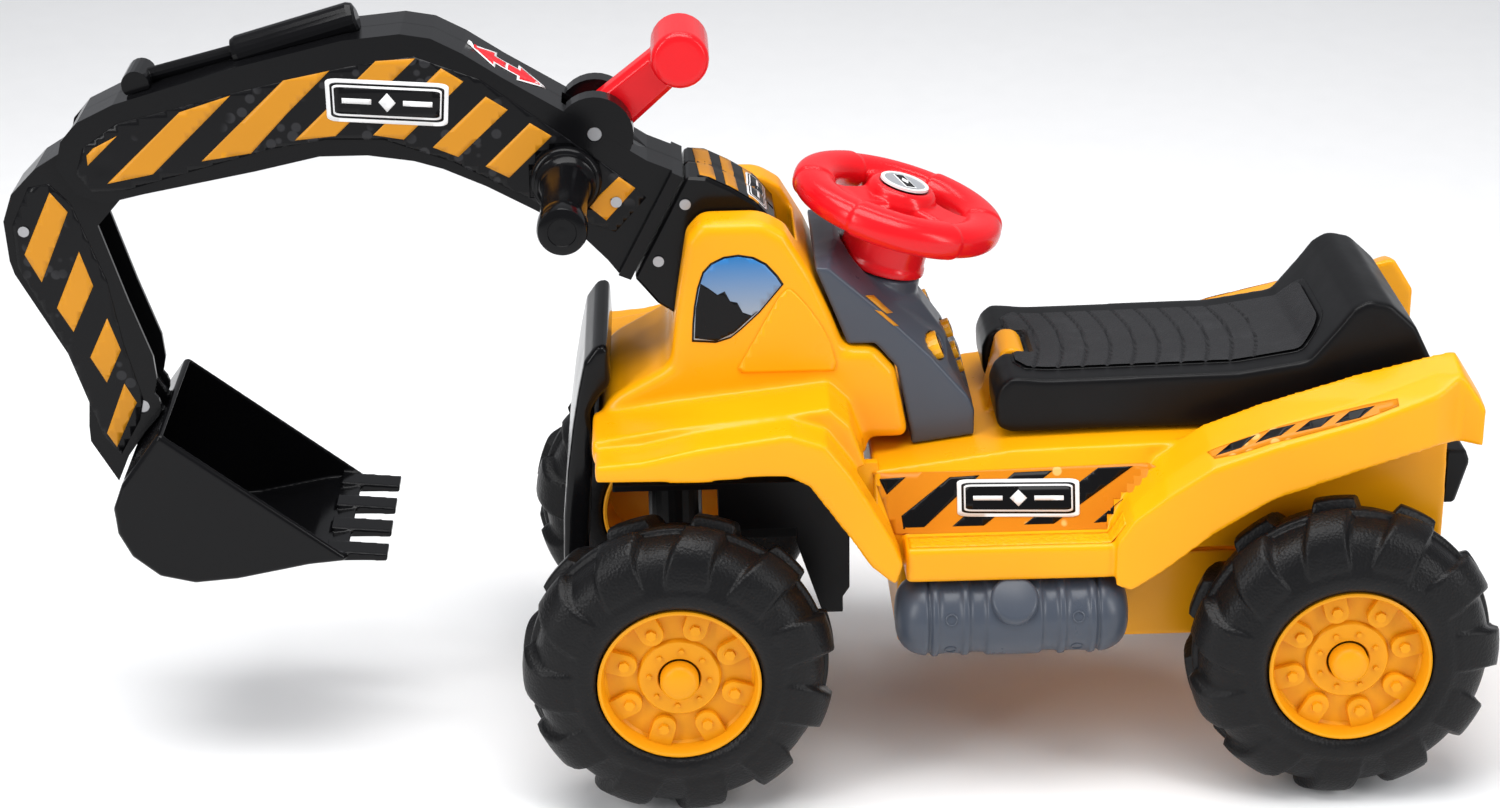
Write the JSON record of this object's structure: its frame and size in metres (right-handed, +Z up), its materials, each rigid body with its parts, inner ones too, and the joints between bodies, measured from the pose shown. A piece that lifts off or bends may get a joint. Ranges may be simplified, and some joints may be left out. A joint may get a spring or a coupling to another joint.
{
  "type": "ride on digger",
  "caption": "Child's ride-on digger: a steered four-wheel body with an opening seat, a raked steering wheel and a lever-worked boom, stick and bucket at the front.",
  "frame": {"origin": "middle of the toy's bounding box on the ground under it", "axes": "+Z up, -X towards the bucket at the front, +X towards the tail, Y across the toy with its mirror plane at Y = 0; -Y is the left-hand side of a rider who faces the bucket"},
  "size_m": [0.8464, 0.293, 0.4494],
  "materials": {
    "body_yellow": "smooth moulded polyethylene with a soft sheen",
    "wheel_yellow": "moulded polypropylene",
    "button_yellow": "moulded, with a dark insert",
    "tyre": "blown plastic with a fine leather grain",
    "black_gloss": "polished moulding",
    "black_satin": "satin moulding",
    "seat_black": "fine grained moulding",
    "grey": "satin moulding",
    "red": "polished moulding",
    "badge": "printed disc",
    "steel": "zinc plated"
  },
  "bodies": {
    "body": {"front_cowl": "body_yellow", "rear_body": "body_yellow", "front_bumper": "black_gloss", "front_frame": "black_satin", "console": "grey", "side_tank_left": "grey", "side_tank_right": "grey", "tail_plate": "black_satin", "sound_module": "black_satin", "kingpin": "steel", "rear_axle": "steel", "push_nut_rear_left": "steel", "push_nut_rear_right": "steel", "turret_pin": "steel"},
    "steering": {"steering_wheel": "red", "steering_rod": "steel", "steering_badge": "badge"},
    "front_carrier": {"front_axle_carrier": "black_satin", "front_axle": "steel", "push_nut_front_left": "steel", "push_nut_front_right": "steel"},
    "seat_lid": {"seat": "seat_black", "seat_pin": "steel"},
    "boom": {"boom_left": "black_gloss", "boom_right": "black_gloss", "turret_left": "black_gloss", "turret_right": "black_gloss", "ram_barrel": "black_gloss", "ram_rod": "black_gloss", "boom_screw": "steel", "turret_screw_upper": "steel", "turret_screw_lower": "steel"},
    "lever": {"control_lever": "red", "lever_pin": "steel", "lever_crank_pin": "steel"},
    "link": {"link_rod": "black_gloss"},
    "stick_arm": {"stick": "black_gloss", "stick_pin": "steel", "stick_crank_pin": "steel", "stick_screw": "steel"},
    "bucket_unit": {"bucket": "black_gloss", "bucket_pin": "steel"},
    "wheel_front_left": {"tyre_front_left": "tyre", "hub_front_left": "wheel_yellow", "hub_cap_front_left": "wheel_yellow"},
    "wheel_front_right": {"tyre_front_right": "tyre", "hub_front_right": "wheel_yellow", "hub_cap_front_right": "wheel_yellow"},
    "wheel_rear_left": {"tyre_rear_left": "tyre", "hub_rear_left": "wheel_yellow", "hub_cap_rear_left": "wheel_yellow"},
    "wheel_rear_right": {"tyre_rear_right": "tyre", "hub_rear_right": "wheel_yellow", "hub_cap_rear_right": "wheel_yellow"},
    "button_left_unit": {"button_left": "button_yellow"},
    "button_right_unit": {"button_right": "button_yellow"},
    "button_upper_unit": {"button_upper": "button_yellow"},
    "button_middle_unit": {"button_middle": "button_yellow"},
    "button_small_unit": {"button_small": "button_yellow"}
  },
  "joints": [
    {"name": "steering_turn", "type": "hinge", "parent": "body", "child": "steering", "pos_m": [0.0867, 0, 0.3224], "axis": [0.284, 0, 0.9588], "range_deg": [-40, 40]},
    {"name": "axle_turn", "type": "hinge", "parent": "body", "child": "front_carrier", "pos_m": [-0.0462, 0, 0.0894], "axis": [0, 0, 1], "range_deg": [-9, 9]},
    {"name": "seat_open", "type": "hinge", "parent": "body", "child": "seat_lid", "pos_m": [0.1528, 0, 0.2284], "axis": [0, -1, 0], "range_deg": [0, 60]},
    {"name": "boom_raise", "type": "hinge", "parent": "body", "child": "boom", "pos_m": [-0.0202, 0, 0.3054], "axis": [0, 1, 0], "range_deg": [-18, 30]},
    {"name": "lever_swing", "type": "hinge", "parent": "boom", "child": "lever", "pos_m": [-0.0862, 0, 0.3764], "axis": [0, 1, 0], "range_deg": [-15, 15]},
    {"name": "link_swing", "type": "hinge", "parent": "lever", "child": "link", "pos_m": [-0.0862, 0, 0.3604], "axis": [0, 1, 0], "range_deg": [-15, 15]},
    {"name": "stick_swing", "type": "hinge", "parent": "boom", "child": "stick_arm", "pos_m": [-0.3632, 0, 0.3644], "axis": [0, 1, 0], "range_deg": [-15, 15]},
    {"name": "bucket_curl", "type": "hinge", "parent": "stick_arm", "child": "bucket_unit", "pos_m": [-0.3552, 0, 0.2154], "axis": [0, 1, 0], "range_deg": [-50, 0]},
    {"name": "roll_front_left", "type": "hinge", "parent": "front_carrier", "child": "wheel_front_left", "pos_m": [-0.0462, -0.1155, 0.0894], "axis": [0, 1, 0], "continuous": true},
    {"name": "roll_front_right", "type": "hinge", "parent": "front_carrier", "child": "wheel_front_right", "pos_m": [-0.0462, 0.1155, 0.0894], "axis": [0, 1, 0], "continuous": true},
    {"name": "roll_rear_left", "type": "hinge", "parent": "body", "child": "wheel_rear_left", "pos_m": [0.3338, -0.1155, 0.0894], "axis": [0, 1, 0], "continuous": true},
    {"name": "roll_rear_right", "type": "hinge", "parent": "body", "child": "wheel_rear_right", "pos_m": [0.3338, 0.1155, 0.0894], "axis": [0, 1, 0], "continuous": true},
    {"name": "press_left", "type": "slide", "parent": "body", "child": "button_left_unit", "axis": [-0.9377, 0, -0.3473], "range_m": [0, 0.002], "stiffness_N_per_m": 900, "springref_m": -0.0005},
    {"name": "press_right", "type": "slide", "parent": "body", "child": "button_right_unit", "axis": [-0.9377, 0, -0.3473], "range_m": [0, 0.002], "stiffness_N_per_m": 900, "springref_m": -0.0005},
    {"name": "press_upper", "type": "slide", "parent": "body", "child": "button_upper_unit", "axis": [-0.9377, 0, -0.3473], "range_m": [0, 0.002], "stiffness_N_per_m": 900, "springref_m": -0.0005},
    {"name": "press_middle", "type": "slide", "parent": "body", "child": "button_middle_unit", "axis": [-0.9377, 0, -0.3473], "range_m": [0, 0.002], "stiffness_N_per_m": 900, "springref_m": -0.0005},
    {"name": "press_small", "type": "slide", "parent": "body", "child": "button_small_unit", "axis": [-0.9377, 0, -0.3473], "range_m": [0, 0.002], "stiffness_N_per_m": 900, "springref_m": -0.0005}
  ],
  "couplings": [
    {"joint": "axle_turn", "follows": "steering_turn", "ratio": 0.2125},
    {"joint": "link_swing", "follows": "lever_swing", "ratio": -1},
    {"joint": "stick_swing", "follows": "lever_swing", "ratio": 1}
  ]
}
